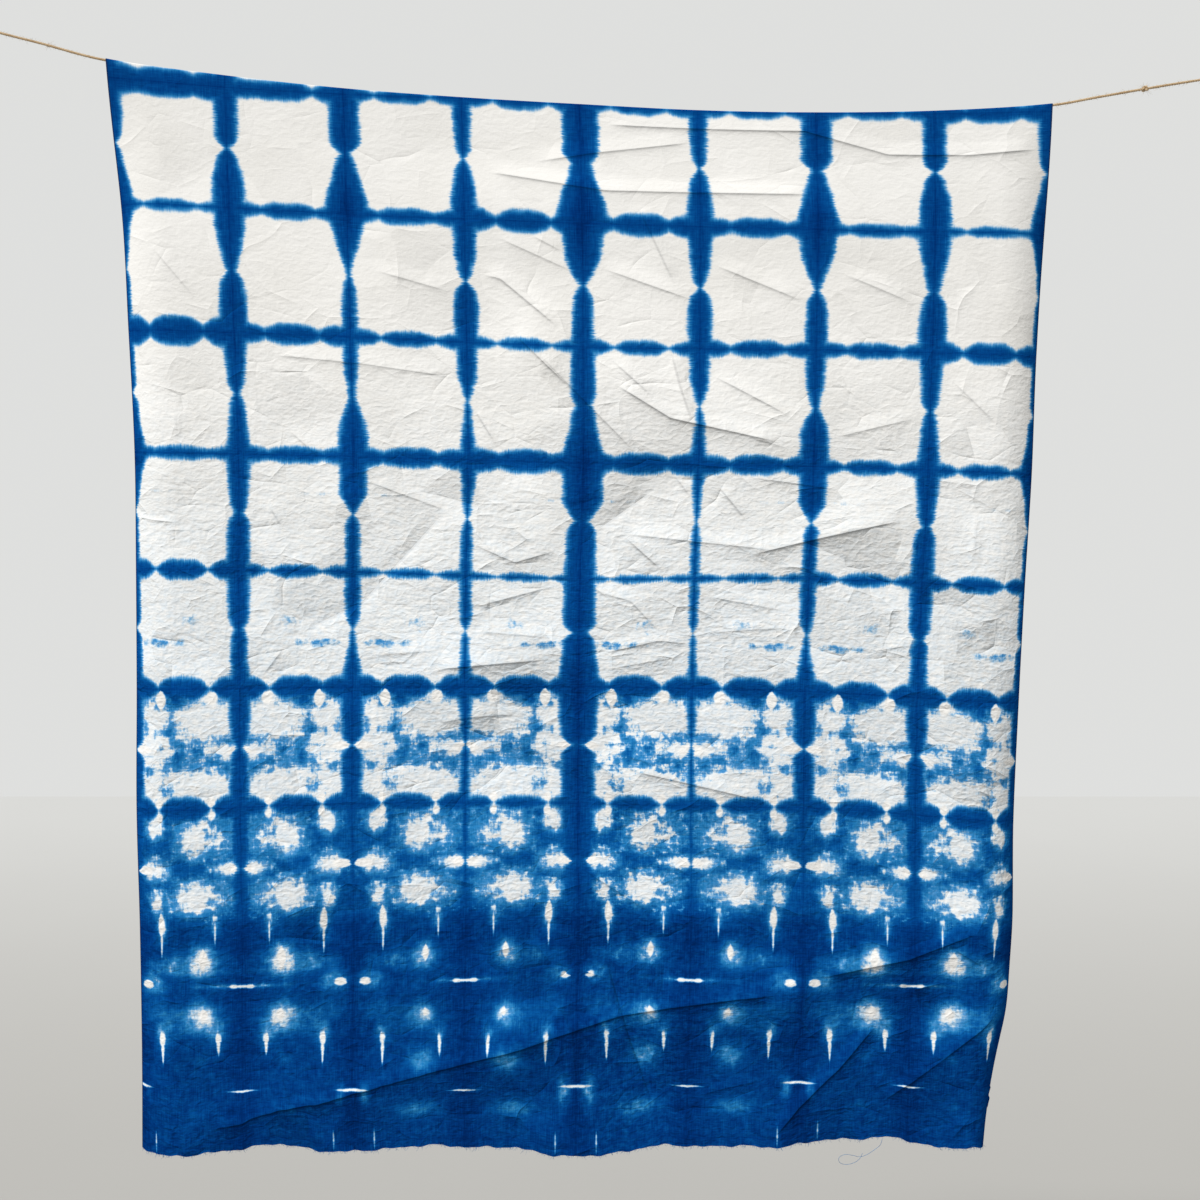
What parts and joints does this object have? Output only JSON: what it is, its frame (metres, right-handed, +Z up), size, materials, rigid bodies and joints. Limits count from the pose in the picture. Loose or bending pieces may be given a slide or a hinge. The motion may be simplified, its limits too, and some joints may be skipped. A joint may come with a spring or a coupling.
{
  "type": "shibori dyed cloth on a twine line",
  "caption": "Length of folded, clamped and indigo dyed cotton, hung folded over a knotted jute twine line",
  "frame": {"origin": "centre of the twine's left eye, where a hook holds it", "axes": "+X along the line to the right eye, +Z up, and the cloth's face looks along -Y"},
  "size_m": [1.5382, 0.0753, 1.378],
  "materials": {
    "indigo_cotton": "matte plain weave, indigo bands on off-white",
    "jute": "hairy twisted twine"
  },
  "bodies": {
    "root": {"cloth": "indigo_cotton", "line": "jute", "line_tail": "jute", "line_knot": "jute", "left_knot": "jute", "right_knot": "jute", "left_eye": "jute", "right_eye": "jute"}
  },
  "joints": []
}
